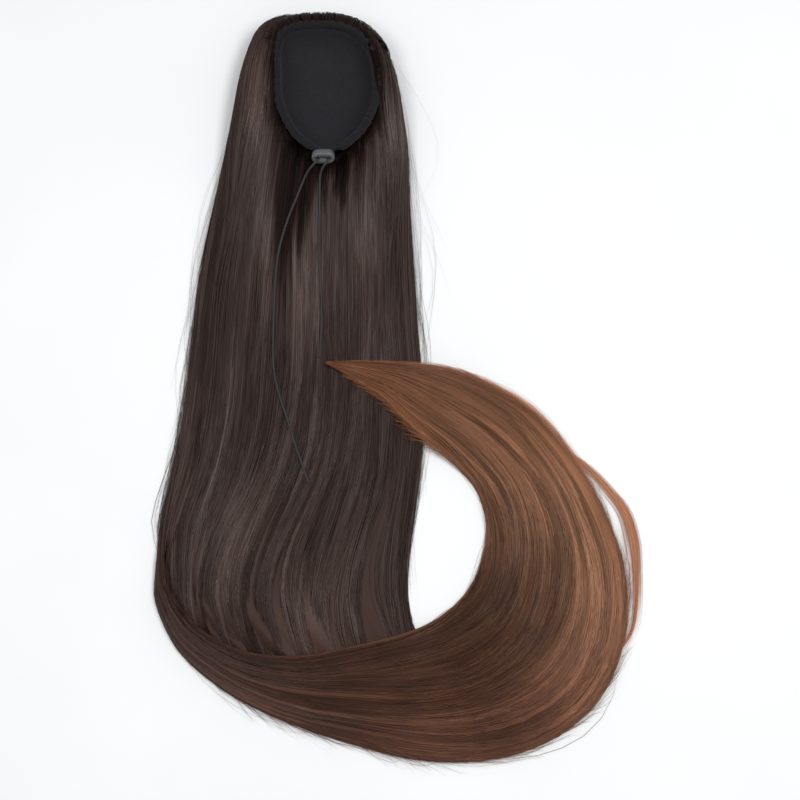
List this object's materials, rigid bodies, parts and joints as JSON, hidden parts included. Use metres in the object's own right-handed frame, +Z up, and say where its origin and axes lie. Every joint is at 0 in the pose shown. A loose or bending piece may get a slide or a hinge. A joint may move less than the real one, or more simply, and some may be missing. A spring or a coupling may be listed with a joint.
{
  "type": "drawstring ponytail hairpiece",
  "caption": "Long straight ponytail hairpiece lying curled to one side, its soft cup open upwards with a gathered drawstring rim, a cord lock and two free cord ends.",
  "frame": {"origin": "on the surface that the hairpiece lies on, under the middle of its bounding box", "axes": "+Z up out of the cap's mouth, +Y along the fall of hair towards the cap, +X towards the open side of the loop"},
  "size_m": [0.3751, 0.595, 0.0424],
  "materials": {
    "black_cloth": "dull black stretch cloth",
    "dark_hair": "long straight dark brown hair fibre with a soft sheen",
    "copper_hair": "hair fibre that turns from dark brown to copper towards its tip, soft sheen",
    "dark_plastic": "moulded dark grey plastic, slightly glossy",
    "dark_cord": "thin dark grey braided cord"
  },
  "bodies": {
    "root": {"cap": "black_cloth", "rim_casing": "black_cloth", "hair_fall": "dark_hair", "hair_sweep": "copper_hair", "stray_lock": "copper_hair", "cord_lock": "dark_plastic", "drawstring_left": "dark_cord", "drawstring_right": "dark_cord"}
  },
  "joints": []
}
